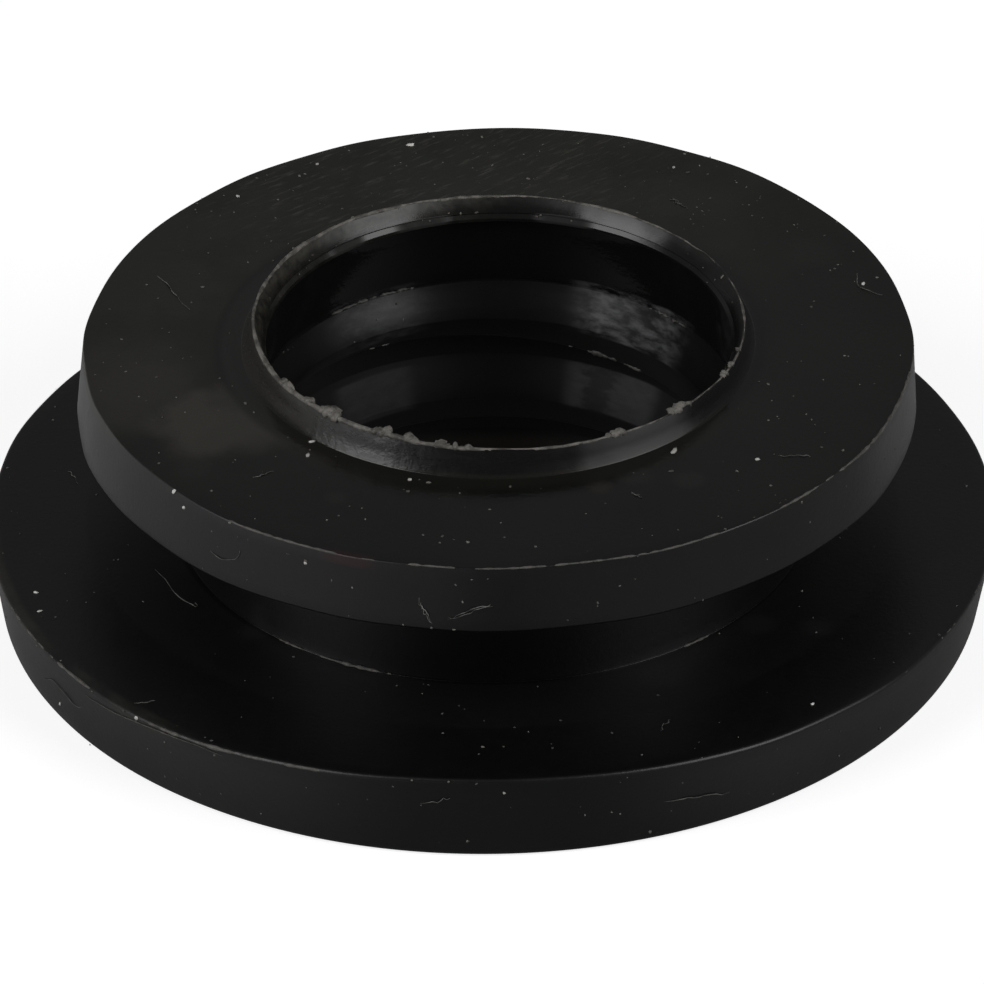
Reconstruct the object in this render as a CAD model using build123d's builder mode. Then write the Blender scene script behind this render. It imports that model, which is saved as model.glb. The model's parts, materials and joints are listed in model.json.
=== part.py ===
"""Moulded rubber sealing ring: a double-flanged grommet with a ribbed bore.

The ring snaps into a round hole in a thin panel. The neck between its two
flanges sits in the hole, and the wide lower flange seals against one side of
the panel. A spout or tube pushed in through the lip is gripped by saw-tooth
ribs in the bore: each has a cone that guides the tube in, a short land that
seals on it, and an undercut that lets the rib bend away.

Everything is one revolved section. The origin is the centre of the foot face,
and +Z runs up the bore axis towards the lip. All sizes are in millimetres.
"""

import os

from build123d import *

# Lower flange, the wide foot of the ring
lower_flange_radius = 15.0
lower_flange_thickness = 2.5
lower_flange_draft = 0.4
lower_flange_bevel = 0.2
foot_edge_bevel = 0.2

# Neck, the bottom of the groove that takes the panel
neck_radius = 9.45
panel_groove_width = 3.5
neck_root_round = 0.3

# Upper flange, the smaller head that is pushed through the panel hole
upper_flange_radius = 12.4
upper_flange_thickness = 2.3
upper_flange_draft = 0.15
upper_flange_bevel = 0.08

# Bore and its saw-tooth ribs
bore_radius = 6.7
rib_depth = 0.5
rib_land = 0.6
rib_undercut_drop = 0.15
upper_rib_top = 6.1
upper_rib_cone = 1.15
lower_rib_top = 3.45
lower_rib_cone = 1.45
foot_rib_top = 0.75
foot_mouth_clearance = 0.2

# Lip, the thin-edged collar round the mouth of the bore
lip_height = 0.74
lip_flare = 0.58
lip_edge_width = 0.06
lip_wall_lean = 0.26
lip_root_round = 0.3
lip_throat_clearance = 0.16
lip_throat_depth = 0.62
lip_throat_land = 0.12
lip_undercut_drop = 0.15

# Heights and radii that follow from them
groove_floor_z = lower_flange_thickness
groove_roof_z = groove_floor_z + panel_groove_width
head_z = groove_roof_z + upper_flange_thickness
lip_top_z = head_z + lip_height
relief_radius = bore_radius + rib_depth
foot_mouth_radius = bore_radius + foot_mouth_clearance
lip_edge_radius = bore_radius + lip_flare
lip_base_radius = lip_edge_radius + lip_wall_lean
lip_throat_radius = bore_radius + lip_throat_clearance
lip_throat_z = lip_top_z - lip_throat_depth


def corner(sketch, radius, height):
    """The vertex of a section nearest to a radius and a height."""
    return sketch.vertices().sort_by_distance((radius, height))[0]


def rib(top_z, cone_height):
    """The closed outline of one rib: cone, land, and an undercut below it."""
    crest_z = top_z - cone_height
    heel_z = crest_z - rib_land
    return Polyline(
        (relief_radius, top_z),
        (bore_radius, crest_z),
        (bore_radius, heel_z),
        (relief_radius, heel_z - rib_undercut_drop),
        close=True,
    )


with BuildPart() as sealing_ring:
    with BuildSketch(Plane.XZ) as section:
        # Flanges and neck, with the relieved wall of the bore on the inside
        with BuildLine():
            Polyline(
                (relief_radius, 0),
                (lower_flange_radius - lower_flange_draft, 0),
                (lower_flange_radius, groove_floor_z - lower_flange_bevel),
                (lower_flange_radius - lower_flange_bevel, groove_floor_z),
                (neck_radius, groove_floor_z),
                (neck_radius, groove_roof_z),
                (upper_flange_radius, groove_roof_z),
                (upper_flange_radius - upper_flange_draft, head_z),
                (relief_radius, head_z),
                close=True,
            )
        make_face()

        # Lip: a funnel inside, an almost upright wall outside, a thin edge
        with BuildLine():
            Polyline(
                (relief_radius, lip_throat_z - lip_throat_land - lip_undercut_drop),
                (lip_throat_radius, lip_throat_z - lip_throat_land),
                (lip_throat_radius, lip_throat_z),
                (lip_edge_radius - lip_edge_width, lip_top_z),
                (lip_edge_radius, lip_top_z),
                (lip_base_radius, head_z),
                close=True,
            )
        make_face()

        # Two whole ribs, and a third that the foot face cuts short
        with BuildLine():
            rib(upper_rib_top, upper_rib_cone)
        make_face()
        with BuildLine():
            rib(lower_rib_top, lower_rib_cone)
        make_face()
        with BuildLine():
            Polyline(
                (relief_radius, foot_rib_top),
                (foot_mouth_radius, 0),
                (relief_radius, 0),
                close=True,
            )
        make_face()

        # Rounds at the roots, where the rubber bends, and bevels on the outer edges
        fillet(corner(section, neck_radius, groove_floor_z), neck_root_round)
        fillet(corner(section, neck_radius, groove_roof_z), neck_root_round)
        fillet(corner(section, lip_base_radius, head_z), lip_root_round)
        foot_edge_radius = lower_flange_radius - lower_flange_draft
        chamfer(corner(section, foot_edge_radius, 0), foot_edge_bevel)
        head_edge_radius = upper_flange_radius - upper_flange_draft
        chamfer(corner(section, head_edge_radius, head_z), upper_flange_bevel)
    revolve(axis=Axis.Z)

sealing_ring.part.label = "sealing_ring"

os.makedirs("parts", exist_ok=True)
export_step(sealing_ring.part, "parts/sealing_ring.step")

size = sealing_ring.part.bounding_box().size
print(f"sealing_ring: {size.X:.2f} x {size.Y:.2f} x {size.Z:.2f} mm")
print(f"volume {sealing_ring.part.volume:.1f} mm3, bore {2 * bore_radius:.1f} mm at the ribs")
print(f"groove {panel_groove_width:.1f} mm wide on a {2 * neck_radius:.1f} mm neck")
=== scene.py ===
# %% [markdown]
# # A moulded rubber sealing ring
#
# The ring is one piece of black rubber: a wide foot flange, a neck that sits in a panel hole, a
# smaller head flange that is pushed through the hole, and a bore with saw-tooth ribs and a thin
# lip. The CAD model gives its true sizes. This lesson adds what moulding and handling leave on
# such a ring: soft edges, flanges that have taken a set, a torn and dusty lip, thin flash along
# the parting edges, scuffs, dust and lint.
#
# Shapes are worked out in millimetres and become metres when a mesh is made. A turn is an angle
# round the axis in degrees: 0 is the front, 90 the right-hand side and 180 the back.

# %% Load the frame that every piece has to fit
import json
import math

import bpy
import numpy as np
from mathutils import Matrix, Vector


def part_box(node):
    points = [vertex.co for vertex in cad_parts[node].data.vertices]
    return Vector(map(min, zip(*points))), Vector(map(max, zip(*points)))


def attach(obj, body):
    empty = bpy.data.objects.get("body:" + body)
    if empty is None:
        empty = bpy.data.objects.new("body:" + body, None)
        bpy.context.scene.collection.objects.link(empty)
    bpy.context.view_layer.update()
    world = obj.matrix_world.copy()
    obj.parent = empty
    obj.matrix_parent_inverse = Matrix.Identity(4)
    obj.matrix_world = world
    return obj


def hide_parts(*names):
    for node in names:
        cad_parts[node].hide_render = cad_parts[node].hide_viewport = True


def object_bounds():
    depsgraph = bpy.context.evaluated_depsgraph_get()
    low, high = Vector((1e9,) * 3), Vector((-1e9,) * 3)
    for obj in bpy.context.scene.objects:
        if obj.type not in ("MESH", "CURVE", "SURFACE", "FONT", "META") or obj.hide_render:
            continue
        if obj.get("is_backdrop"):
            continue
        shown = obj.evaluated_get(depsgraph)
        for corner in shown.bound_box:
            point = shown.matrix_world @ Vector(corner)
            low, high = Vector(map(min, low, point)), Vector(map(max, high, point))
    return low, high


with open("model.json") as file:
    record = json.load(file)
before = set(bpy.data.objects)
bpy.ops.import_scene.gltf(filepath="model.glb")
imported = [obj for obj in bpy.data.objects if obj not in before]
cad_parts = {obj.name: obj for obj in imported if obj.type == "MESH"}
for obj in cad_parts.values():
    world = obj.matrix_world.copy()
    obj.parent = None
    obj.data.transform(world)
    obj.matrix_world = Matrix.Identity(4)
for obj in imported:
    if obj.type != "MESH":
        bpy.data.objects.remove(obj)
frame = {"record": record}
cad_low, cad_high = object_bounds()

MM = 0.001
mounts = {mount["name"]: mount for mount in frame["record"]["mounts"]}
low_corner, high_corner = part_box("sealing_ring")
print(f"CAD ring: {2 * high_corner.x / MM:.2f} mm across, {high_corner.z / MM:.2f} mm high")

# %% [markdown]
# ## The sizes of the section
#
# The outer radius, the height, the bore and the middle of the panel groove are read from the
# frame, so the looks follow the CAD model. The rest of the section is written here once.

# %% Sizes of the ring, in mm
foot_radius = high_corner.x / MM
ring_height = high_corner.z / MM
bore_radius = mounts["bore"]["dims"]["r_mm"]
groove_middle = mounts["panel_groove"]["pos_m"][2] / MM

groove_width = 3.5
foot_top = groove_middle - groove_width / 2
head_bottom = groove_middle + groove_width / 2
lip_height = 0.74
head_top = ring_height - lip_height

foot_draft = 0.36
neck_radius = 9.45
head_radius = 12.4
head_draft = 0.18
relief_radius = bore_radius + 0.5
lip_radius = bore_radius + 0.58
lip_base_radius = lip_radius + 0.30
throat_radius = bore_radius + 0.16
throat_height = ring_height - 0.62

rib_land = 0.6
upper_rib_top = 6.1
upper_rib_cone = 1.15
upper_rib_heel = upper_rib_top - upper_rib_cone - rib_land
lower_rib_top = 3.45
print(f"foot {foot_top:.2f} mm thick, head {head_top - head_bottom:.2f} mm thick")

# %% [markdown]
# ## One section, carried round
#
# A moulded ring has the same section all the way round. So the section is drawn once, as an
# outline of corners, each with the round that its mould edge leaves, and it is carried round
# the axis as a grid of points. A subdivided cage would need creases at some thirty edges, and
# a bevel would round them all alike.

# %% The outline: (radius, height, round) at each corner, anticlockwise


def rib_corners(top, cone, land=rib_land, undercut=0.15):
    """One saw-tooth rib, from its top down: the cone, the land that seals, and the undercut."""
    crest = top - cone
    heel = crest - land
    return [
        (relief_radius, top, 0.12),
        (bore_radius, crest, 0.08),
        (bore_radius, heel, 0.05),
        (relief_radius, heel - undercut, 0.03),
    ]


section_corners = [
    (bore_radius + 0.2, 0.0, 0.06),
    (foot_radius - foot_draft, 0.0, 0.2),
    (foot_radius, foot_top, 0.12),
    (neck_radius, foot_top, 0.01),
    (neck_radius, head_bottom, 0.2),
    (head_radius, head_bottom, 0.1),
    (head_radius - head_draft, head_top, 0.06),
    (lip_base_radius, head_top, 0.04),
    (lip_radius + 0.135, head_top + 0.34, 1.4),
    (lip_radius, ring_height, 0.03),
    (lip_radius - 0.08, ring_height, 0.03),
    (throat_radius + 0.09, throat_height + 0.15, 0.015),
    (throat_radius + 0.105, throat_height + 0.12, 0.015),
    (throat_radius, throat_height - 0.01, 0.05),
    (throat_radius, throat_height - 0.12, 0.03),
    (relief_radius, throat_height - 0.27, 0.03),
    *rib_corners(upper_rib_top, upper_rib_cone),
    *rib_corners(lower_rib_top, cone=1.3, land=0.7),
    (relief_radius, 0.75, 0.1),
]


def divide(start, end, step):
    """The points strictly between two points, evenly spaced and no further apart than step."""
    parts = max(1, math.ceil(np.linalg.norm(end - start) / step))
    return [start + (end - start) * part / parts for part in range(1, parts)]


def corner_arc(place, before, after, size, spread=18):
    """The arc of radius size that touches both sides of a corner, a point every spread degrees.

    Its centre lies on the line that halves the corner, size / sine of half the corner away.
    """
    inward = (before - place) / np.linalg.norm(before - place)
    onward = (after - place) / np.linalg.norm(after - place)
    turned = math.pi - math.acos(np.clip(inward @ onward, -1, 1))
    middle = (inward + onward) / np.linalg.norm(inward + onward)
    across = np.array([-middle[1], middle[0]]) * np.sign(np.cross(inward, onward))
    centre = place + middle * size / math.cos(turned / 2)
    count = max(3, round(math.degrees(turned) / spread) + 1)
    sweep = np.linspace(-turned / 2, turned / 2, count)[:, None]
    return list(centre - size * (np.cos(sweep) * middle - np.sin(sweep) * across))


def rounded_outline(corners, step):
    """The radii and heights of a closed outline with its corners rounded and its sides divided."""
    places = np.array([corner[:2] for corner in corners])
    neighbours = zip(np.roll(places, 1, 0), np.roll(places, -1, 0))
    arcs = [
        corner_arc(place, before, after, corner[2])
        for place, (before, after), corner in zip(places, neighbours, corners)
    ]
    outline = []
    for arc, following in zip(arcs, arcs[1:] + arcs[:1]):
        outline += arc + divide(arc[-1], following[0], step)
    return np.array(outline).T


section_radius, section_height = rounded_outline(section_corners, step=0.42)
print(f"section of {section_radius.size} points")

# %% [markdown]
# ## How the rubber has settled
#
# A rubber moulding never comes out of its bag perfectly flat. The foot flange curls up at the
# front, the head flange is a little thinner there, the top leans slightly to the right, the
# ribs are not quite level, and the lip waves. A Lattice modifier could bend the body, but what
# is placed later wouldn't know where its surface went. So one function moves every point, and
# the dust and the flash follow the ring.

# %% Shapes round the ring


def wave(turn, seed, slowest, fastest):
    """Random ripple of about 1: sines of whole numbers of cycles per turn, weaker as they quicken."""
    rng = np.random.default_rng(seed)
    cycles = np.arange(slowest, fastest + 1)
    height = rng.normal(size=cycles.size) / np.sqrt(cycles)
    phase = rng.uniform(0, 2 * math.pi, cycles.size)
    angle = np.radians(np.asarray(turn, float))[..., None]
    total = (height * np.sin(cycles * angle + phase)).sum(-1)
    return total / math.sqrt(0.5 * (height**2).sum())


def hill(turn, centre, width):
    """A smooth rise to 1 round a turn: e to the minus half the squared distance over the width."""
    apart = (turn - centre + 180) % 360 - 180
    return np.exp(-0.5 * (apart / width) ** 2)


def stretch(turn, start, end, soft=1.5):
    """1 between two turns, falling to 0 over soft degrees past each."""
    apart = np.abs((turn - (start + end) / 2 + 180) % 360 - 180)
    return np.clip(((end - start) / 2 + soft - apart) / soft, 0, 1)


# %% The warp, in mm
foot_curl = 0.46
foot_droop_behind = 0.05
foot_spread = 0.14
foot_drift = -0.08
foot_ripple = 0.02
head_thinning_below = 0.19
head_thinning_above = 0.16
front_spared = 0.81
head_flat = 0.05
head_ripple = 0.022
lean_right = 0.27
lip_lift_front = 0.06
lip_lift_left = 0.12
lip_wave = 0.012
lip_ripple = 0.010
bore_levels = [0.0, 2.0, 3.45, 4.35, 4.95, 6.1, 7.5]
bore_slopes = [0.0, -0.1, -0.2, -0.5, -0.16, -0.04, 0.0]


def on_ring(radius, height, turn):
    """Where a point of the section stands on the real ring, in mm, at a turn in degrees.

    x = radius sin(turn) and y = -radius cos(turn), plus the warp: a flange lifts by the share
    of its reach beyond the neck times a cosine or a hill of the turn, the ribs and the lip tip
    sideways by a sine of it, and the top drifts right as the height grows.
    """
    radius, height, turn = np.broadcast_arrays(
        np.asarray(radius, float), np.asarray(height, float), np.asarray(turn, float)
    )
    front = np.cos(np.radians(turn))
    right = np.sin(np.radians(turn))
    foot = (height < groove_middle) * np.clip(height / foot_top, 0, 1)
    foot = foot * np.clip((radius - neck_radius) / (foot_radius - neck_radius), 0, None)
    head = (height > groove_middle) * (radius - neck_radius) / (head_radius - neck_radius)
    head = np.clip(head, 0, None)
    upper = np.clip((height - head_bottom) / (head_top - head_bottom), 0, 1)
    lip = np.clip((height - head_top) / lip_height, 0, 1) * (radius < neck_radius)
    bore = np.clip((neck_radius - 1 - radius) / 0.5, 0, 1)

    lift = foot * foot_curl * hill(turn, 0, 24)
    lift = lift - foot * foot_droop_behind * stretch(turn, 100, 260, 40)
    lift = lift + head * (1 - upper) * head_thinning_below * front
    thinned = front - front_spared * hill(turn, 4, 24)
    lift = lift - head * upper * head_thinning_above * thinned
    lift = lift + lip * (lip_lift_front * front - lip_lift_left * right)
    lift = lift + lip * lip_wave * wave(turn, 3, 6, 60)
    lift = lift + bore * np.interp(height, bore_levels, bore_slopes) * right
    swell = head * (head_ripple * wave(turn, 5, 3, 26) - head_flat * hill(turn, 122, 12))
    swell = swell + foot * (foot_spread * hill(turn, 0, 55) + foot_ripple * wave(turn, 6, 4, 24))
    swell = swell + lip * lip_ripple * wave(turn, 8, 4, 30)
    out = np.clip((radius - neck_radius) / (foot_radius - neck_radius), 0, 1)
    drift = lean_right * np.clip(height / ring_height, 0, 1) ** 1.2
    drift = drift + foot_drift * out * (height < groove_middle)
    x = (radius + swell) * right + drift
    y = -(radius + swell) * front
    return np.stack([x, y, np.maximum(height + lift, 0.0)], axis=-1)


# %% [markdown]
# ## From points to a mesh
#
# Every piece below is an array of points, and faces that name them by number. A grid that joins
# its own ends is a closed skin, such as the ring or a bead of flash, and a stack of rings with a
# pole at each end is a closed lump or fibre. bmesh could build them face by face, but arrays
# are quicker, and they show how the grid closes.

# %% Put a grid of points into a closed mesh


def add_piece(name, points, faces, material):
    """A mesh object from points in mm and faces of point numbers, riding on the ring's body."""
    mesh = bpy.data.meshes.new(name)
    mesh.from_pydata((points.reshape(-1, 3) * MM).tolist(), [], faces)
    mesh.polygons.foreach_set("use_smooth", np.ones(len(mesh.polygons), bool))
    mesh.materials.append(material)
    mesh.update()
    piece = bpy.data.objects.new(name, mesh)
    bpy.context.scene.collection.objects.link(piece)
    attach(piece, "root")
    print(f"{name}: {sum(len(face.vertices) - 2 for face in mesh.polygons)} triangles")
    return piece


def loop_faces(rows, columns):
    """Four-sided faces of a grid whose last row and last column join the first ones."""
    here = np.arange(rows * columns).reshape(rows, columns)
    right = np.roll(here, -1, 1)
    up = np.roll(here, -1, 0)
    return np.stack([here, right, np.roll(up, -1, 1), up], -1).reshape(-1, 4).tolist()


def capped_faces(count, rings, around):
    """Faces of count shapes, each a stack of rings with a pole below and a pole above it.

    A shape holds its rings in order, around points each, then its lower and its upper pole.
    """
    here = np.arange(rings * around).reshape(rings, around)
    onward = np.roll(here, -1, 1)
    sides = np.stack([here[:-1], onward[:-1], onward[1:], here[1:]], -1).reshape(-1, 4)
    low = np.full(around, rings * around)
    below = np.stack([onward[0], here[0], low], -1)
    above = np.stack([here[-1], onward[-1], low + 1], -1)
    offsets = (rings * around + 2) * np.arange(count)[:, None, None]
    shapes = [offsets + part for part in (sides, below, above)]
    return [face for part in shapes for face in part.reshape(-1, part.shape[-1]).tolist()]


# %% [markdown]
# ## Shader maths as plain expressions
#
# Node trees are easier to read as formulas. `Signal` wraps one socket, and arithmetic on it
# adds Math nodes. `Finish.node` adds any other node: its type, its settings, then its inputs.

# %% Signal and Finish


class Signal:
    """One output socket. Arithmetic on it adds a Math node and gives that node's output."""

    def __init__(self, finish, socket):
        self.finish = finish
        self.socket = socket

    def math(self, operation, first, second=0.0):
        """One Math node on two values, each a Signal or a number."""
        return self.finish.node("Math", {"operation": operation}, {0: first, 1: second})

    def __add__(self, other):
        return self.math("ADD", self, other)

    def __sub__(self, other):
        return self.math("SUBTRACT", self, other)

    def __mul__(self, other):
        return self.math("MULTIPLY", self, other)

    def __pow__(self, other):
        return self.math("POWER", self, other)

    def __rsub__(self, other):
        return self.math("SUBTRACT", other, self)

    __radd__ = __add__
    __rmul__ = __mul__


class Finish:
    """A material, or the world, under construction."""

    def __init__(self, block):
        self.block = block
        block.use_nodes = True
        self.tree = block.node_tree
        self.tree.nodes.clear()

    def node(self, kind, settings=None, inputs=None, output=0):
        """Adds a node, sets it up, fills its inputs with numbers or Signals, and returns an output."""
        made = self.tree.nodes.new("ShaderNode" + kind)
        for name, value in (settings or {}).items():
            setattr(made, name, value)
        for key, value in (inputs or {}).items():
            if isinstance(value, Signal):
                self.tree.links.new(value.socket, made.inputs[key])
            else:
                made.inputs[key].default_value = value
        return Signal(self, made.outputs[output]) if made.outputs else None

    def split(self, vector):
        """The x, y and z of a vector."""
        return [self.node("SeparateXYZ", inputs={0: vector}, output=axis) for axis in range(3)]

    def vector(self, x, y, z):
        """Three values joined into one vector."""
        return self.node("CombineXYZ", inputs={0: x, 1: y, 2: z})

    def noise(self, place, scale, detail=2.0, rough=0.5):
        """Soft random values, mostly between 0.3 and 0.7, that change over 1 / scale."""
        inputs = {"Vector": place, "Scale": scale, "Detail": detail, "Roughness": rough}
        return self.node("TexNoise", inputs=inputs)

    def ease(self, value, low, high, start=0.0, end=1.0):
        """A smooth step: start where value is low, end where it is high."""
        inputs = {"Value": value, "From Min": low, "From Max": high, "To Min": start, "To Max": end}
        return self.node("MapRange", {"interpolation_type": "SMOOTHSTEP"}, inputs)

    def band(self, value, low, high, soft):
        """1 between low and high, falling smoothly to 0 over soft outside them."""
        rise = self.ease(value, low - soft, low)
        return rise * self.ease(value, high, high + soft, 1.0, 0.0)

    def blend(self, share, first, second):
        """A mix of two colours, each a Signal or three numbers. Sockets 6 and 7 take colours."""
        pair = [tone if isinstance(tone, Signal) else (*tone, 1.0) for tone in (first, second)]
        inputs = {"Factor": share, 6: pair[0], 7: pair[1]}
        return self.node("Mix", {"data_type": "RGBA"}, inputs, output=2)

    def bump(self, height, depth):
        """A Bump node: height from 0 to 1 stands for depth mm."""
        return self.node("Bump", inputs={"Height": height, "Distance": depth * MM})

    def close(self, inputs):
        """The Principled shader and the material's output."""
        shader = self.node("BsdfPrincipled", inputs=inputs)
        self.node("OutputMaterial", inputs={"Surface": shader})
        print(f"{self.block.name}: {len(self.tree.nodes)} nodes")
        return self.block


class RingFinish(Finish):
    """A material that knows where it is on the ring: Object coordinates, scaled to mm."""

    def __init__(self, name):
        super().__init__(bpy.data.materials.new(name))
        metres = self.node("TexCoord", output="Object")
        stretched = {"Vector": metres, "Scale": (1000, 1000, 1000)}
        self.place = self.node("Mapping", inputs=stretched)
        self.x, self.y, self.height = self.split(self.place)
        self.radius = (self.x**2 + self.y**2) ** 0.5

    def patch(self, x, y, size, ragged):
        """1 in the middle of a spot at x and y, falling smoothly to 0 at size mm, ragged by mm."""
        apart = ((self.x - x) ** 2 + (self.y - y) ** 2) ** 0.5
        return self.ease(apart + ragged, 0.3 * size, size, 1.0, 0.0)

    def near(self, turn, reach, soft):
        """1 within reach degrees of a turn, falling smoothly to 0 over soft degrees."""
        angle = math.radians(turn)
        across = self.x * math.cos(angle) + self.y * math.sin(angle)
        ahead = self.x * math.sin(angle) - self.y * math.cos(angle)
        apart = self.node("Math", {"operation": "ARCTAN2"}, {0: across, 1: ahead})
        apart = self.node("Math", {"operation": "ABSOLUTE"}, {0: apart})
        return self.ease(apart, math.radians(reach), math.radians(reach + soft), 1.0, 0.0)


# %% [markdown]
# ## Black rubber
#
# Carbon black leaves a base colour of a quarter of a percent. What gives the ring its look is
# the sheen: the flanges' sides are matt from the mould, the head's face is shinier towards the
# lip, where it is handled most, and the bore is polished by the core pin that formed it. A
# painted texture would need an unwrapped mesh. Here each kind of wear is a mask instead, a
# number from 0 to 1 worked out from the place on the ring.

# %% Masks for the faces of the ring
rubber = RingFinish("black_rubber")
height = rubber.height
radius = rubber.radius
on_top = rubber.ease(height, head_top - 0.5, head_top - 0.2)
on_top = on_top * rubber.ease(radius, lip_base_radius + 0.32, lip_base_radius + 0.72)
in_bore = rubber.ease(radius, lip_base_radius + 0.22, lip_base_radius + 0.52, 1.0, 0.0)
upright = rubber.ease(radius, head_radius - 0.4, head_radius - 0.15)
upright = upright * rubber.ease(height, head_top - 0.1, head_top, 1.0, 0.0)
burnished = rubber.ease(height, head_bottom, head_bottom + 0.1)
burnished = burnished * rubber.ease(radius, head_radius + 0.1, neck_radius + 0.05)
neck = rubber.band(height, foot_top + 0.1, head_bottom, 0.1)
neck = neck * rubber.band(radius, neck_radius - 0.45, neck_radius + 0.25, 0.1)
neck_root = rubber.band(height, foot_top - 0.1, foot_top + 0.04, 0.04)
neck_root = neck_root * rubber.band(radius, neck_radius - 0.15, neck_radius + 0.09, 0.05)

# The lip leans to the right, so its own centre tells its inside from its outside
lip_centre = 0.26
from_lip_centre = ((rubber.x - lip_centre) ** 2 + rubber.y**2) ** 0.5
lip_wall = rubber.ease(height, head_top - 0.05, head_top + 0.05) * in_bore
funnel = rubber.ease(height, head_top - 0.2, head_top)
funnel = funnel * rubber.ease(from_lip_centre, lip_radius - 0.06, lip_radius - 0.01, 1.0, 0.0)
# The bottom of the bore, where light coming up from the floor is painted in
mouth = in_bore * rubber.ease(height, 0.3, 0.8, 1.0, 0.0)

# %% Masks for what lies on the rubber, and for light painted on the head
# A thin brown film of dust, thickest at the back left, which also paints the brighter reflection at
# the back of the head. It is left off at the front, which paints the darker reflection there
film_cloud = rubber.ease(rubber.noise(rubber.place, 0.45, 4.0, 0.6), 0.3, 0.7)
film_and_reflection = (0.3 + 1.1 * rubber.near(-158, 46, 55)) * (1 - rubber.near(5, 16, 34))
film_and_reflection = film_and_reflection * on_top * (0.5 + 0.5 * film_cloud)

# Painted light: a paler band in the corner at the foot of the lip, at the front, lifts the shade there
lip_foot_fill_light = rubber.band(height, head_top - 0.2, head_top + 0.05, 0.1) * rubber.near(-5, 50, 25)
lip_foot_fill_light = lip_foot_fill_light * rubber.ease(radius, lip_base_radius + 1.1, lip_base_radius + 0.3)

# Powder inside the lip and on its outer left, and fine scuffs that run across the head's back.
# The share deep grows from 0 at the lip's edge to 1 at the throat.
deep = rubber.ease(height, ring_height - 0.1, throat_height + 0.15)
dusty = (0.1 + 0.9 * rubber.near(-122, 42, 26)) * funnel * (1 - 0.7 * deep)
powder = rubber.ease(rubber.noise(rubber.place, 3.5, 4.0, 0.65), 0.35, 0.65)
powdered = rubber.near(-82, 30, 25) * lip_wall * (1 - funnel)
flow = rubber.vector(rubber.x * 0.8 + rubber.y * 0.6, rubber.y * 4.8 - rubber.x * 3.5, height)
scuffs = rubber.ease(rubber.noise(flow, 1.4, 4.0, 0.65), 0.52, 0.74)
scuffs = scuffs * on_top * rubber.near(-170, 22, 26)

# Two pale smears on the left of the head, with ragged borders
drifted = rubber.noise(rubber.place, 0.5, 3.0) * 3.0 - 1.5
smear = rubber.patch(-7.9, -4.3, 2.6, drifted) + 0.55 * rubber.patch(-10.4, -2.6, 3.2, drifted)
smear = smear * on_top

# Finger marks on the head, one of them rusty, and wiped spots on the foot
uneven = drifted * 0.3
thumbed = rubber.patch(-1.2, -8.2, 0.7, uneven) + rubber.patch(4.1, -7.5, 0.6, uneven)
thumbed = thumbed + rubber.patch(-4.5, -8.5, 0.6, uneven) + rubber.patch(-8.6, -6.8, 0.7, uneven)
thumbed = thumbed + rubber.patch(5.8, -7.7, 0.6, uneven) + rubber.patch(9.7, 4.8, 1.2, uneven)
rusty = rubber.patch(3.1, -8.1, 0.5, uneven) * on_top
wiped = rubber.patch(7.8, -6.6, 0.7, uneven) + rubber.patch(9.4, -6.8, 0.6, uneven)
wiped = wiped + rubber.patch(-7.0, -6.6, 0.8, uneven) + 0.7 * rubber.patch(4.9, -9.2, 1.1, uneven)
wiped = wiped * rubber.band(height, foot_top - 0.2, foot_top + 0.7, 0.2)

# A red stain on the edge of the head, and a worn stretch of the edge of the foot
stain = rubber.near(-20, 2, 3) * rubber.band(height, head_top - 0.3, head_top + 0.1, 0.15)
stain = stain * rubber.ease(radius, head_radius - 0.6, head_radius - 0.2)
worn_edge = rubber.near(-64, 20, 12) * rubber.ease(height, foot_top - 0.4, foot_top - 0.1)
worn_edge = worn_edge * rubber.ease(radius, foot_radius - 0.4, foot_radius - 0.15)

# %% [markdown]
# The ribs carry pale grey patches at the back on both sides. They are painted highlights, where the
# soft boxes shine on the ribs, drawn out round the bore. So the noise that breaks them up is
# squeezed: its place is scaled less along x and y than along the height.

# %% Masks for the painted highlights on the ribs
streaks = rubber.noise(rubber.vector(rubber.x * 0.14, rubber.y * 0.14, height), 9.0, 4.0, 0.65)
blotches = rubber.noise(rubber.vector(rubber.x * 0.6, rubber.y * 0.6, height * 1.6), 2.6, 4.0, 0.6)
# Painted highlights on both ribs, at the back on both sides, broken into blotches
upper_rib_highlight = rubber.near(142, 8, 12) + 0.22 * rubber.near(-150, 7, 10)
upper_rib_highlight = upper_rib_highlight * rubber.band(height, upper_rib_top - 1.3, upper_rib_top + 0.1, 0.1)
upper_rib_highlight = upper_rib_highlight * rubber.ease(blotches, 0.34, 0.78)
lower_rib_highlight = rubber.near(148, 10, 5) + 0.55 * rubber.near(-149, 8, 5)
lower_rib_highlight = lower_rib_highlight * rubber.band(height, lower_rib_top - 1.35, lower_rib_top - 0.15, 0.1)
lower_rib_highlight = lower_rib_highlight * (0.1 + 0.6 * blotches)
# A gap in the lower rib's painted highlight
highlight_gap = rubber.patch(3.3, 6.2, 0.7, (blotches - 0.5) * 1.2)
lower_rib_highlight = lower_rib_highlight * (1 - 0.8 * highlight_gap)

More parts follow.
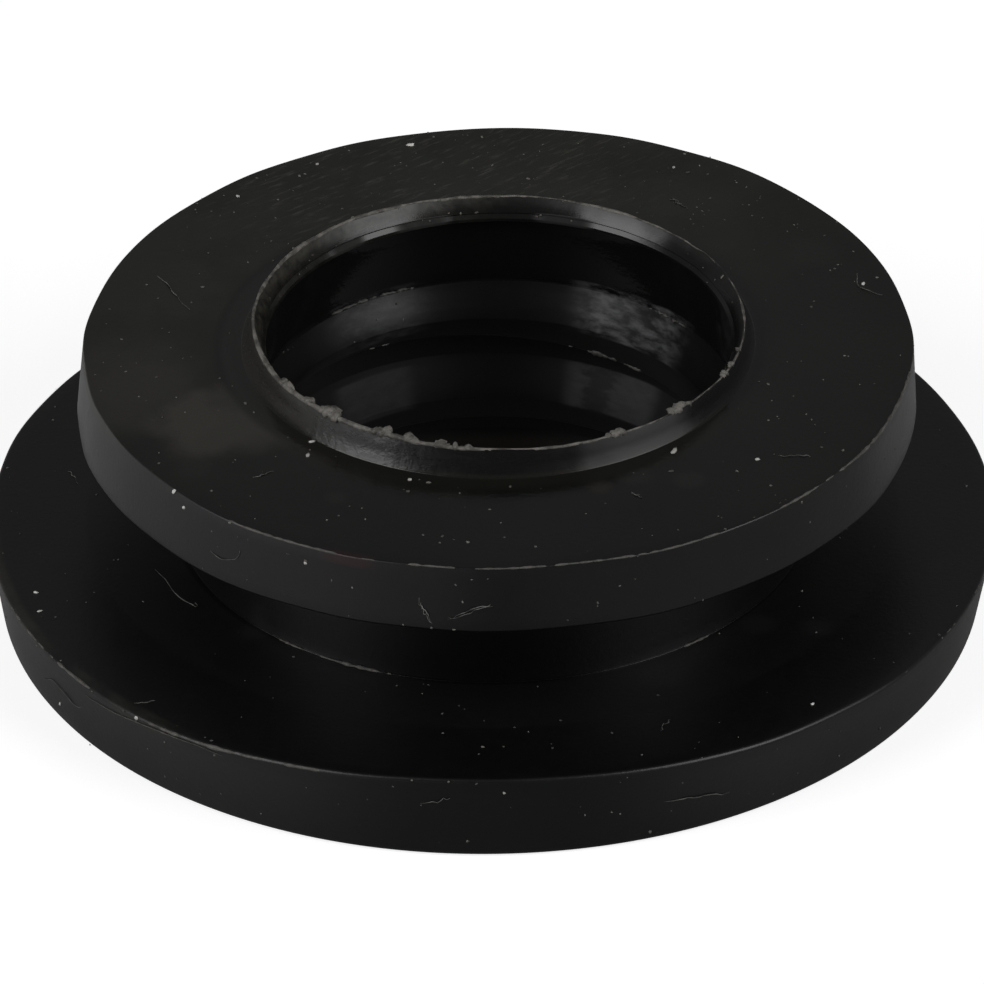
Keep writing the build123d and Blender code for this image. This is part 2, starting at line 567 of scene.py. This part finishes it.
# %% The rubber's colour, one layer over another
moulding = rubber.ease(rubber.noise(rubber.place, 0.3, 3.0), 0.35, 0.65) * 0.5
moulding = moulding + rubber.ease(rubber.noise(rubber.place, 2.2, 3.0), 0.35, 0.65) * 0.5
colour = rubber.blend(moulding, (0.0023, 0.0023, 0.0024), (0.0032, 0.0032, 0.0031))
layers = [
    # Painted shade: the neck, down in the groove between the flanges, is darker
    (neck * 0.4, (0.0010, 0.0010, 0.0010)),
    # The bore is paler: partly dust, partly painted light on the ribs that the lamps barely reach
    (in_bore * 0.8, (0.0062, 0.0062, 0.0061)),
    # Painted highlights on the upper and the lower rib, pale grey
    (upper_rib_highlight * in_bore, (0.1380, 0.1380, 0.1440)),
    (lower_rib_highlight * in_bore, (0.1150, 0.1150, 0.1180)),
    # Painted light: the bottom of the bore is warmer and paler, lit from the floor below
    (mouth * 0.8, (0.0300, 0.0250, 0.0210)),
    # Dust film, and with it the painted reflection at the back of the head
    (film_and_reflection * 0.9, (0.0145, 0.0144, 0.0112)),
    (dusty * (0.15 + 0.85 * powder), (0.0400, 0.0380, 0.0300)),
    (powdered * 0.6, (0.0300, 0.0278, 0.0245)),
    # Painted light in the corner at the foot of the lip
    (lip_foot_fill_light, (0.0110, 0.0108, 0.0088)),
    (scuffs * 0.9, (0.0500, 0.0480, 0.0410)),
    (thumbed * on_top * 0.6, (0.0110, 0.0108, 0.0098)),
    (rusty * 0.6, (0.0180, 0.0120, 0.0080)),
    (stain * 0.6, (0.0240, 0.0050, 0.0070)),
    (wiped * 0.5, (0.0110, 0.0110, 0.0108)),
    (worn_edge * film_cloud, (0.0200, 0.0195, 0.0160)),
    (smear * 0.9, (0.0330, 0.0310, 0.0258)),
]
for share, tint in layers:
    colour = rubber.blend(share, colour, tint)

# %% The rubber's sheen and relief
# Roughness is 0.44 where only the mould has left its matt, and each mask takes from it or adds
sheen = 0.44 - 0.07 * upright - 0.27 * burnished - 0.1 * neck - in_bore * (0.10 * streaks + 0.09)
sheen = sheen + (0.09 - 0.14 * deep) * funnel + 0.25 * lip_wall - 0.15 * neck_root
sheen = sheen + 0.13 * in_bore * rubber.ease(height, lower_rib_top + 0.45, lower_rib_top + 0.15)
sheen = sheen + 0.06 * (rubber.noise(rubber.place, 1.1, 4.0, 0.6) - 0.5) + 0.1 * film_and_reflection

# The throat's edge is dull beside its two highlights, which keeps them short, and so is the
# outside of the lip at the front right
throat_edge = lip_wall * rubber.ease(height, throat_height + 0.17, throat_height + 0.13)
dulled = rubber.near(-141, 3, 4) + rubber.near(-163, 4, 5) + rubber.near(161, 4, 5)
sheen = sheen + 0.6 * throat_edge * dulled
sheen = sheen + 0.2 * lip_wall * (1 - funnel) * rubber.near(34, 8, 9)

# The mould's grain fades in the bore, where the pin's streaks show, and the lip is dimpled
grain = rubber.noise(rubber.place, 6.0, 4.0, 0.6)
relief = grain * (1.0 - 0.6 * in_bore) + streaks * in_bore * 0.15
dimpled = rubber.noise(rubber.place, 3.2, 3.0, 0.6) * lip_wall * (1 - funnel)
relief = relief + dimpled * (0.8 + 2.4 * rubber.near(-25, 22, 12))
rubber_material = rubber.close(
    {"Base Color": colour, "Roughness": sheen, "Normal": rubber.bump(relief, 0.006)}
)

# %% [markdown]
# ## Torn rubber and painted edge highlights, dust and lint
#
# Where rubber tears, its broken face is pale and scatters light. On flash and on the lip's edge
# the torn rubber is painted paler still, a painted highlight for the light that sharp edges catch.
# Dust is pale too, the big grains most of all, and lint is grey. Each is one noise between two tones.

# %% Their materials
torn = RingFinish("torn_rubber")
tone = torn.ease(torn.noise(torn.place, 3.0, 3.0, 0.6), 0.35, 0.65)
# Both tones are paler than torn rubber alone: partly painted highlight for the light sharp edges catch
edge_colour = torn.blend(tone, (0.060, 0.058, 0.053), (0.110, 0.106, 0.097))
lip_colour = torn.blend(tone, (0.060, 0.056, 0.050), (0.190, 0.178, 0.160))
on_lip = torn.ease(torn.height, head_top + 0.3, head_top + 0.5)
torn_and_highlight_material = torn.close(
    {
        "Base Color": torn.blend(on_lip, edge_colour, lip_colour),
        "Roughness": 0.55,
        "Normal": torn.bump(torn.noise(torn.place, 12.0, 3.0), 0.02),
    }
)

dust = RingFinish("dust")
tone = dust.ease(dust.noise(dust.place, 1.3, 1.0), 0.38, 0.62)
dust_material = dust.close(
    {"Base Color": dust.blend(tone, (0.050, 0.048, 0.043), (0.17, 0.165, 0.15)), "Roughness": 0.8}
)

pale_dust = RingFinish("pale_dust")
tone = pale_dust.ease(pale_dust.noise(pale_dust.place, 1.3, 1.0), 0.38, 0.62)
pale_material = pale_dust.close(
    {"Base Color": pale_dust.blend(tone, (0.40, 0.39, 0.37), (0.80, 0.79, 0.76)), "Roughness": 0.4}
)

lint = RingFinish("lint")
tone = lint.ease(lint.noise(lint.place, 2.0, 1.0), 0.35, 0.65)
lint_material = lint.close(
    {"Base Color": lint.blend(tone, (0.05, 0.05, 0.047), (0.16, 0.16, 0.15)), "Roughness": 0.7}
)

# %% [markdown]
# ## The body of the ring
#
# The points of the section become the rows of a grid and the turns its columns, so the body is
# one closed skin of four-sided faces, with no pole. A Screw modifier could spin the section,
# but the warp changes with the turn, so it is worked out for every point of the grid at once.

# %% The body
# 452 columns leave about 0.2 mm between two points on the edge of the foot
columns = 452
turns = np.arange(columns) * 360 / columns
body_points = on_ring(section_radius[:, None], section_height[:, None], turns[None, :])
body_faces = loop_faces(section_radius.size, columns)
ring_body = add_piece("ring_body", body_points, body_faces, rubber_material)
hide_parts("sealing_ring")

# %% [markdown]
# ## Flash and the torn lip
#
# Rubber creeps into the joints of a mould and leaves thin flash where it is torn off. Each
# line of flash is a fine bead that runs right round an edge, because separate strips would
# each need two closed ends. Where the edge is clean the bead thins and sinks below the surface,
# so that only the torn stretches show. Their pale finish is partly a painted highlight, for the
# light that these sharp edges catch.

# %% Beads


def stretches(turn, parts):
    """The largest of several stretches, each given as (start, end, strength) in degrees."""
    return np.max([stretch(turn, start, end) * strength for start, end, strength in parts], 0)


def add_bead(name, radius, height, half_width, rough, seed, sink=(-1, -1), around=8):
    """A torn bead on an edge: a ring of circular section whose half-width changes with the turn.

    half_width(turn) is in mm, and random ripple scales it by rough to 2 - rough. Where it
    falls below 0.03 mm the bead's centre moves into the rubber, along sink (radius, height).
    """
    turn = np.arange(1440) / 4
    ragged = np.clip(1 + (1 - rough) * 0.6 * wave(turn, seed, 30, 240), rough, 2 - rough)
    size = half_width(turn) * ragged
    angle = np.arange(around)[:, None] * 2 * math.pi / around
    thick = np.maximum(size, 0.012)
    sunk = np.clip(0.03 - size, 0, 0.03) * 1.8
    shake = 0.25 * (1 - rough) * size * wave(turn, seed + 1, 60, 300)
    points = on_ring(
        radius + sink[0] * sunk + thick * np.cos(angle) + shake,
        height + sink[1] * sunk + thick * np.sin(angle) + shake,
        turn,
    )
    bead = add_piece(name, points, loop_faces(around, turn.size), torn_and_highlight_material)


def head_flash_width(turn):
    """Half-width of the flash on the head's upper edge, round most of the front."""
    parts = [
        (-39, -23, 1.0), (-20, -17, 0.55), (-12, -7, 0.9), (-3, 30, 0.9), (31, 40, 0.4),
        (41, 47, 1.1), (47, 54, 0.6), (54, 58, 1.1), (59, 80, 1.2),
    ]
    return 0.034 * stretches(turn, parts)


def foot_flash_width(turn):
    """Half-width of the flash on the foot's upper edge, mostly on its left half."""
    parts = [(-71, -62, 0.6), (-61, -51, 0.9), (-41, -31, 1.1), (-31, -20, 0.9), (50, 75, 0.4)]
    return 0.038 * stretches(turn, parts)


def neck_flash_width(turn):
    """Half-width of the flash where the neck meets the foot: two short stretches and a scrap."""
    return 0.045 * stretches(turn, [(-41, -37, 0.75), (-32, -20, 1.0), (36, 41, 0.8)])


def rib_flash_width(turn):
    """Half-width of the torn skin on top of the upper rib."""
    return 0.04 * stretches(turn, [(-160, -152, 0.8), (-149, -137, 1.0), (128, 139, 0.7)])


def heel_flash_width(turn):
    """Half-width of the torn skin under the upper rib's land."""
    parts = [(147, 154, 1.0), (139, 144, 0.7), (139, 161, 0.35), (-152, -146, 0.5)]
    return 0.055 * stretches(turn, parts)


def lip_width(turn):
    """Half-width of the lip's frayed edge: it goes all the way round, thickest on the left."""
    left = stretch(turn, -128, -25, 22)
    back = stretch(turn, -150, -112, 12)
    torn_front = stretch(turn, -72, -8, 14)
    behind = stretch(turn, 142, 212, 12)
    thin_right = stretch(turn, 84, 122, 12)
    width = 0.042 + 0.008 * left + 0.014 * back + 0.026 * torn_front + 0.010 * behind
    return width - 0.007 * thin_right + 0.006 * wave(turn, 61, 4, 40)


add_bead("head_flash", head_radius - head_draft - 0.01, head_top - 0.01, head_flash_width, 0.6, 11)
add_bead("foot_flash", foot_radius - 0.04, foot_top - 0.05, foot_flash_width, 0.35, 14)
add_bead("neck_flash", neck_radius + 0.02, foot_top + 0.02, neck_flash_width, 0.3, 17)
add_bead("rib_flash", relief_radius - 0.04, upper_rib_top - 0.03, rib_flash_width, 0.3, 23, (1, -1))
add_bead("heel_flash", bore_radius + 0.02, upper_rib_heel + 0.01, heel_flash_width, 0.5, 26, (1, 1))
add_bead("lip_edge", lip_radius - 0.04, ring_height - 0.03, lip_width, 0.94, 20)

# %% [markdown]
# ## Dust, crumbs and lint
#
# Rubber is charged by rubbing and pulls dust to itself. A particle system could scatter it, but
# it couldn't put a grain on a chosen place. So each face of the ring is named as a stretch of
# the section, and `spot` gives the point of a face at a turn, and the direction it faces.

# %% Faces of the ring, each from one (radius, height) to another, anticlockwise
faces = {
    "head_rim": [(head_radius, head_bottom), (head_radius - head_draft, head_top)],
    "foot_rim": [(foot_radius - foot_draft, 0), (foot_radius, foot_top)],
    "head": [(head_radius - head_draft, head_top), (lip_base_radius + 0.25, head_top)],
    "foot": [(foot_radius, foot_top), (neck_radius, foot_top)],
    "funnel": [(lip_radius - 0.08, ring_height), (throat_radius, throat_height)],
    "upper_cone": [(relief_radius, upper_rib_top), (bore_radius, upper_rib_top - upper_rib_cone)],
    "foot_face": [(bore_radius + 0.2, 0), (foot_radius - foot_draft, 0)],
}


def spot(face, measure, turn):
    """Points of a face and the directions it faces there.

    measure is a radius in mm on a flat face and a height in mm on an upright one. The normal
    is the cross product of the way the turn runs and the way the section runs.
    """
    start, end = np.array(faces[face])
    axis = int(abs(end - start)[1] > abs(end - start)[0])
    share = (np.asarray(measure, float) - start[axis]) / (end - start)[axis]
    radius, height = start[:, None] + (end - start)[:, None] * np.atleast_1d(share)
    step = (end - start) / np.linalg.norm(end - start) * 0.05
    here = on_ring(radius, height, turn)
    onward = on_ring(radius + step[0], height + step[1], turn) - here
    round_ring = on_ring(radius, height, np.asarray(turn) + 0.2) - here
    normal = np.cross(round_ring, onward)
    return here, normal / np.linalg.norm(normal, axis=-1, keepdims=True)


# %% Grains


def add_grains(name, places, normals, sizes, material, seed, flat=0.6):
    """Small lumps, half sunk: each a ball of three rings, pulled out of round at random.

    A lump's own axes are two directions along the face and the normal, along which flat
    squashes it.
    """
    rng = np.random.default_rng(seed)
    count = len(sizes)
    tip = np.radians([130.0, 90.0, 50.0])[:, None]
    angle = np.radians(np.arange(6) * 60.0)[None, :]
    ring = [np.sin(tip) * np.cos(angle), np.sin(tip) * np.sin(angle), np.cos(tip) + 0 * angle]
    ball = np.vstack([np.stack(ring, -1).reshape(-1, 3), [[0, 0, -1]], [[0, 0, 1]]])
    ball = ball * rng.uniform(0.75, 1.25, (count, len(ball), 1))
    heading = rng.normal(size=(count, 3))
    first = np.cross(normals, heading)
    first = first / np.linalg.norm(first, axis=-1, keepdims=True)
    second = np.cross(normals, first)
    axes = np.stack([first, second, normals], 1)
    length, width = rng.uniform([[0.8], [0.6]], [[1.5], [1.0]], (2, count))
    pulled = np.stack([length, width, np.full(count, flat)], -1) * sizes[:, None]
    points = places[:, None] + (ball * pulled[:, None]) @ axes
    return add_piece(name, points, capped_faces(count, 3, 6), material)


def scatter(face, count, low, high, seed):
    """Evenly random points of a face: the square of the radius is what is even on a flat one."""
    rng = np.random.default_rng(seed)
    start, end = np.array(faces[face])
    axis = int(abs(end - start)[1] > abs(end - start)[0])
    power = 1 if axis else 2
    measure = rng.uniform(*sorted([start[axis] ** power, end[axis] ** power]), count) ** (1 / power)
    turn = rng.uniform(low, high, count)
    here, normal = spot(face, measure, turn)
    size = 0.014 + 0.010 * rng.exponential(1.0, count)
    return here, normal, np.clip(size, 0.010, 0.055)


# %% Grains placed one by one: a face, their half-size in mm, and (measure, turn) of each
chosen_grains = [
    ("head", 0.110, [(8.0, 39)]),
    ("head", 0.090, [(8.3, -42), (7.7, -45)]),
    ("head", 0.075, [(10.0, 48), (12.3, -50)]),
    ("head", 0.095, [(11.6, -167)]),
    ("head", 0.070, [(11.6, -152), (11.5, -137), (8.0, -19), (11.2, 151), (11.3, 105)]),
    ("head", 0.060, [(8.1, -66), (8.8, 34), (8.0, -15), (8.6, -18), (9.4, 174), (11.8, 106)]),
    ("head", 0.048, [(11.3, -148), (10.2, -80), (11.7, -178), (10.0, 43), (11.2, 44), (8.0, 2)]),
    ("head", 0.048, [(11.2, 5), (11.1, 57), (11.7, 58), (11.8, -57), (12.3, -39), (10.9, -5)]),
    ("head", 0.038, [(10.9, -75), (11.9, -78), (8.1, -62), (10.6, -68), (8.4, -77), (10.7, -12)]),
    ("head", 0.038, [(11.3, -149), (9.4, 173), (11.9, -130), (10.5, -125), (8.8, -122)]),
    ("head", 0.038, [(11.0, -108), (11.7, -100), (10.1, -121), (10.3, 141), (11.4, 120), (10.4, 132)]),
    ("head", 0.038, [(11.7, 114), (9.6, 102), (8.0, 72), (8.7, 66), (9.2, 69), (11.5, 26)]),
    ("head", 0.034, [(11.6, 33), (8.5, 29), (9.4, 25), (10.2, 51), (9.2, -2), (8.4, -8)]),
    ("head_rim", 0.065, [(7.9, -48), (7.7, -27)]),
    ("head_rim", 0.045, [(8.1, 45), (6.1, -6), (6.1, -9)]),
    ("head_rim", 0.034, [(7.7, -6), (7.1, -5), (6.3, 9), (6.8, 13), (7.3, 16), (7.2, -20)]),
    ("head_rim", 0.034, [(6.1, 28), (7.3, -23), (7.2, -41), (7.9, -36)]),
    ("foot", 0.065, [(14.1, -72), (14.2, 40), (14.3, -68)]),
    ("foot", 0.036, [(14.0, -66), (11.2, 56), (11.7, 53), (12.4, -7), (13.1, 1), (13.5, -2)]),
    ("foot", 0.036, [(13.3, 7), (14.2, 17), (12.8, 15), (11.8, 9), (14.7, -34), (14.75, -33)]),
    ("foot_rim", 0.065, [(2.42, -43), (2.1, 1), (0.7, -59)]),
    ("foot_rim", 0.042, [(2.45, -45), (2.45, -9), (2.45, -5), (2.4, -2), (0.5, -3), (2.0, -39)]),
    ("foot_rim", 0.034, [(0.5, -27), (1.8, -21), (0.5, -35), (0.8, -32), (0.6, -40)]),
    ("foot_rim", 0.034, [(1.4, -42), (1.7, -14), (1.2, 10), (1.2, 13), (1.1, 14), (0.9, 20)]),
    ("foot_rim", 0.034, [(1.8, 21), (2.0, 40), (1.7, 42)]),
    ("funnel", 0.050, [(8.6, -175), (8.5, 170)]),
    ("funnel", 0.038, [(8.65, -168), (8.6, -171), (8.5, -163), (8.5, 161), (8.55, 169)]),
    ("funnel", 0.034, [(8.7, 113), (8.7, -105), (8.5, -121), (8.6, -136), (8.8, 101)]),
    ("upper_cone", 0.045, [(5.7, -155), (5.2, -156), (5.4, -149)]),
    ("upper_cone", 0.032, [(5.0, -141), (5.9, -119), (5.85, -121), (5.95, -117)]),
]

# %% Dust on every face, and the listed grains
spread = [
    scatter("head", 170, -180, 180, 31),
    scatter("head", 90, 120, 240, 37),
    scatter("foot", 150, -180, 180, 32),
    scatter("head_rim", 50, -180, 180, 33),
    scatter("foot_rim", 90, -180, 180, 34),
    scatter("funnel", 30, -180, 180, 35),
    scatter("foot_face", 200, -180, 180, 36),
]
pale = []
for face, size, marks in chosen_grains:
    measure, turn = np.transpose(marks)
    group = pale if size > 0.06 else spread
    group.append((*spot(face, measure, turn), np.full(len(marks), size)))
for name, group, material in [
    ("dust_grains", spread, dust_material),
    ("pale_grains", pale, pale_material),
]:
    places, normals, sizes = (np.concatenate(part) for part in zip(*group))
    add_grains(name, places, normals, sizes, material, 41)

# %% [markdown]
# The lip is the thinnest rubber on the ring, and it tore when the ring was pulled off its core
# pin. Crumbs hang along its front in a few groups. They are made as large grains, because a
# displaced lip would need a far finer mesh all the way round.

# %% Crumbs on the torn lip: (first turn, last turn, how many, half-size in mm)
tears = [
    (-61, -58, 4, 0.17), (-52, -49, 4, 0.16), (-46, -41, 6, 0.20), (-30, -27, 5, 0.19),
    (-23, -20, 4, 0.18), (-15, -7, 10, 0.14), (12, 18, 3, 0.05), (25, 32, 9, 0.14),
    (44, 50, 10, 0.18), (63, 66, 4, 0.11), (68, 70, 3, 0.11), (76, 78, 2, 0.08),
]
rng = np.random.default_rng(43)
crumb_turns = np.concatenate([rng.uniform(start, end, count) for start, end, count, _ in tears])
crumb_sizes = np.concatenate([np.full(count, size) for _, _, count, size in tears])
crumb_sizes = crumb_sizes * rng.uniform(0.5, 1.1, crumb_turns.size)
crumb_radii = lip_radius - 0.04 - crumb_sizes * rng.uniform(0.2, 0.7, crumb_turns.size)
crumb_places = on_ring(crumb_radii, ring_height - 0.05 + 0.2 * crumb_sizes, crumb_turns)
straight_up = np.tile([0.0, 0.0, 1.0], (crumb_turns.size, 1))
lip_crumbs = add_grains(
    "lip_crumbs", crumb_places, straight_up, crumb_sizes, torn_and_highlight_material, 44, flat=0.8
)

# %% [markdown]
# Lint lies flat and kinks. A bevelled curve could draw it, but wouldn't lie on a warped face.
# Here each fibre follows a smooth line of `spot` points, with a small random shake at nine
# knots along it, and its thickness swells and thins.

# %% Lint


def add_fibres(name, paths, thickness, material, seed, steps=18, wriggle=0.035, around=5):
    """Fibres that lie on the ring, one per path: a face, then marks of (measure, turn) on it.

    A polynomial through the marks gives the line, and a tube is carried along it, a little
    above the face. Each ring of the tube has its centre at here + thickness times the normal.
    """
    rng = np.random.default_rng(seed)
    share = np.linspace(0, 1, steps)
    shapes = []
    knots = np.linspace(0, 1, 9)
    for face, *marks in paths:
        at = np.linspace(0, 1, len(marks))
        lines = [np.polyfit(at, values, len(marks) - 1) for values in np.transpose(marks)]
        measure, turn = (np.polyval(line, share) for line in lines)
        measure = measure + np.interp(share, knots, rng.normal(size=knots.size) * wriggle)
        turn = turn + np.interp(share, knots, rng.normal(size=knots.size) * wriggle * 4)
        here, normal = spot(face, measure, turn)
        thick = thickness * (0.4 + 0.6 * np.sin(math.pi * share)) * rng.uniform(0.6, 1.5, steps)
        thick = thick[:, None]
        raised = 0.02 * np.abs(np.sin(share * rng.uniform(3, 9)))[:, None]
        centre = here + normal * (thick * 0.6 + raised)
        along = np.gradient(centre, axis=0)
        along = along / np.linalg.norm(along, axis=-1, keepdims=True)
        side = np.cross(along, normal)
        angle = (np.arange(around) * 2 * math.pi / around)[:, None, None]
        rings = centre + thick * (np.cos(angle) * side + np.sin(angle) * normal)
        poles = centre[[0, -1]] + along[[0, -1]] * [[-thickness], [thickness]]
        shapes.append(np.vstack([rings.transpose(1, 0, 2).reshape(-1, 3), poles]))
    add_piece(name, np.array(shapes), capped_faces(len(shapes), steps, around), material)


chosen_fibres = [
    ("head", (9.7, 147), (9.4, 142)),
    ("head", (9.6, 147), (9.5, 144)),
    ("head", (10.1, -44), (9.6, -43)),
    ("head", (9.2, 24), (9.6, 25)),
    ("head", (11.3, 108), (11.2, 104), (11.7, 101)),
    ("head", (10.9, -111), (10.1, -107), (9.4, -102)),
    ("head", (10.3, 51), (10.8, 53), (11.1, 54)),
    ("head_rim", (7.05, -11), (6.25, -9)),
    ("head_rim", (6.95, -10.6), (6.3, -9)),
    ("head_rim", (6.5, -7), (6.75, -4), (7.1, -1)),
    ("head_rim", (6.4, -7), (6.85, -4), (7.0, -1)),
    ("head_rim", (6.9, -42), (6.9, -39), (7.4, -37)),
    ("foot", (12.95, -100), (12.7, -99), (12.5, -97)),
    ("foot", (10.5, -72), (10.35, -61), (10.1, -60)),
    ("foot", (14.6, -45), (14.3, -44), (14.05, -44)),
    ("foot", (12.6, 23), (12.9, 22), (13.15, 21)),
    ("foot_rim", (1.7, -8), (1.8, -6), (2.0, -5)),
    ("foot_rim", (0.9, -63), (1.5, -59), (1.35, -56), (1.5, -53)),
    ("foot_rim", (1.3, 19), (1.2, 23), (1.05, 27)),
]
add_fibres("lint_fibres", chosen_fibres, 0.015, lint_material, 51)

# The same tube, in torn rubber, makes the thin strip that hangs below the edge of the foot
split_edge = [("foot_rim", (2.1, -52), (2.2, -46), (2.35, -39), (2.3, -31))]
add_fibres("foot_split", split_edge, 0.014, torn_and_highlight_material, 52, steps=60)

# %% [markdown]
# ## Studio
#
# Two soft boxes stand left and right in front of the ring, and the room is dim, brightest
# behind it, so that black rubber shows its shape by what it mirrors. To the camera the floor is
# a white sheet that keeps the shadow. To light that bounces it is a grey card, so that the
# rubber isn't filled from below.

# %% Camera
scene = bpy.context.scene
scene.view_settings.view_transform = "Standard"

camera_distance = 0.2621
camera_rise = math.radians(33.2)
camera_roll = math.radians(-0.75)
aim_height = 0.0030

camera_data = bpy.data.cameras.new("camera")
camera_data.sensor_width = 36.0
camera_data.lens = 319.4
camera = bpy.data.objects.new("camera", camera_data)
camera.location = camera_distance * Vector((0, -math.cos(camera_rise), math.sin(camera_rise)))
look = Vector((0, 0, aim_height)) - camera.location
roll = Matrix.Rotation(camera_roll, 3, "Z").to_quaternion()
camera.rotation_mode = "QUATERNION"
camera.rotation_quaternion = look.to_track_quat("-Z", "Y") @ roll
scene.collection.objects.link(camera)
scene.camera = camera

# %% Soft boxes


def soft_box(name, turn, rise, distance, width, height, radiance):
    """A rectangular lamp aimed at the ring: its power is radiance times pi times its area."""
    lamp = bpy.data.lights.new(name, "AREA")
    lamp.shape = "RECTANGLE"
    lamp.size = width
    lamp.size_y = height
    lamp.energy = radiance * math.pi * width * height
    box = bpy.data.objects.new(name, lamp)
    turn = math.radians(turn)
    rise = math.radians(rise)
    flat = math.cos(rise)
    away = Vector((flat * math.sin(turn), -flat * math.cos(turn), math.sin(rise)))
    box.location = away * distance
    box.rotation_euler = (-away).to_track_quat("-Z", "Y").to_euler()
    scene.collection.objects.link(box)
    print(f"{name}: {lamp.energy:.2f} W")


soft_box("left_soft_box", -61, 31, 0.35, 0.20, 0.29, 3.4)
soft_box("right_soft_box", 60, 31, 0.35, 0.22, 0.29, 3.2)

# %% Room
# It glows from 0.06 in front of the ring to 0.18 behind it, and less overhead
room = Finish(bpy.data.worlds.new("room"))
scene.world = room.block
_, ahead, up = room.split(room.node("TexCoord", output="Generated"))
glow = room.ease(ahead, -0.2, 0.75, 0.06, 0.18)
glow = glow * room.ease(up, 0.75, 0.98, 1.0, 0.7)
seen = room.node("LightPath", output="Is Camera Ray")
background = room.node("Background", inputs={"Strength": glow + seen * (1 - glow)})
room.node("OutputWorld", inputs={"Surface": background})

# %% Floor
sheet = Finish(bpy.data.materials.new("floor_sheet"))
seen = sheet.node("LightPath", output="Is Camera Ray")
across, behind, _ = sheet.split(sheet.node("TexCoord", output="Object"))
aside = sheet.node("Math", {"operation": "ABSOLUTE"}, {0: across})

# The card is darkest under the front of the ring, brighter at the sides and behind, and its
# grey falls by 6 for each metre to the right
grey = sheet.ease(aside, 0.002, 0.010, 0.25, 0.52) + sheet.ease(behind, -0.008, 0.008, 0.0, 0.33)
grey = grey - 6 * across
card = sheet.blend(seen, sheet.vector(grey, grey, grey), (0.50, 0.50, 0.50))
paper = sheet.node("BsdfDiffuse", inputs={"Color": card})
glow = sheet.node("Emission", inputs={"Color": (1, 1, 1, 1), "Strength": seen * 0.78})
surface = sheet.node("AddShader", inputs={0: paper, 1: glow})
sheet.node("OutputMaterial", inputs={"Surface": surface})

# The sheet lies a fiftieth of a mm below the ring, so that it and the foot's face never share
# a plane, which would speckle both
half = 1.5
low = -0.00002
floor_corners = [(-half, -half, low), (half, -half, low), (half, half, low), (-half, half, low)]
floor_mesh = bpy.data.meshes.new("floor")
floor_mesh.from_pydata(floor_corners, [], [(0, 1, 2, 3)])
floor_mesh.materials.append(sheet.block)
floor = bpy.data.objects.new("floor", floor_mesh)
scene.collection.objects.link(floor)
floor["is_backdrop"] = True

# %% Sizes of the CAD model and of the looks, and the end
new_low, new_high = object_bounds()
sizes = {
    "cad": [list(cad_low), list(cad_high)],
    "visual": [list(new_low), list(new_high)],
}
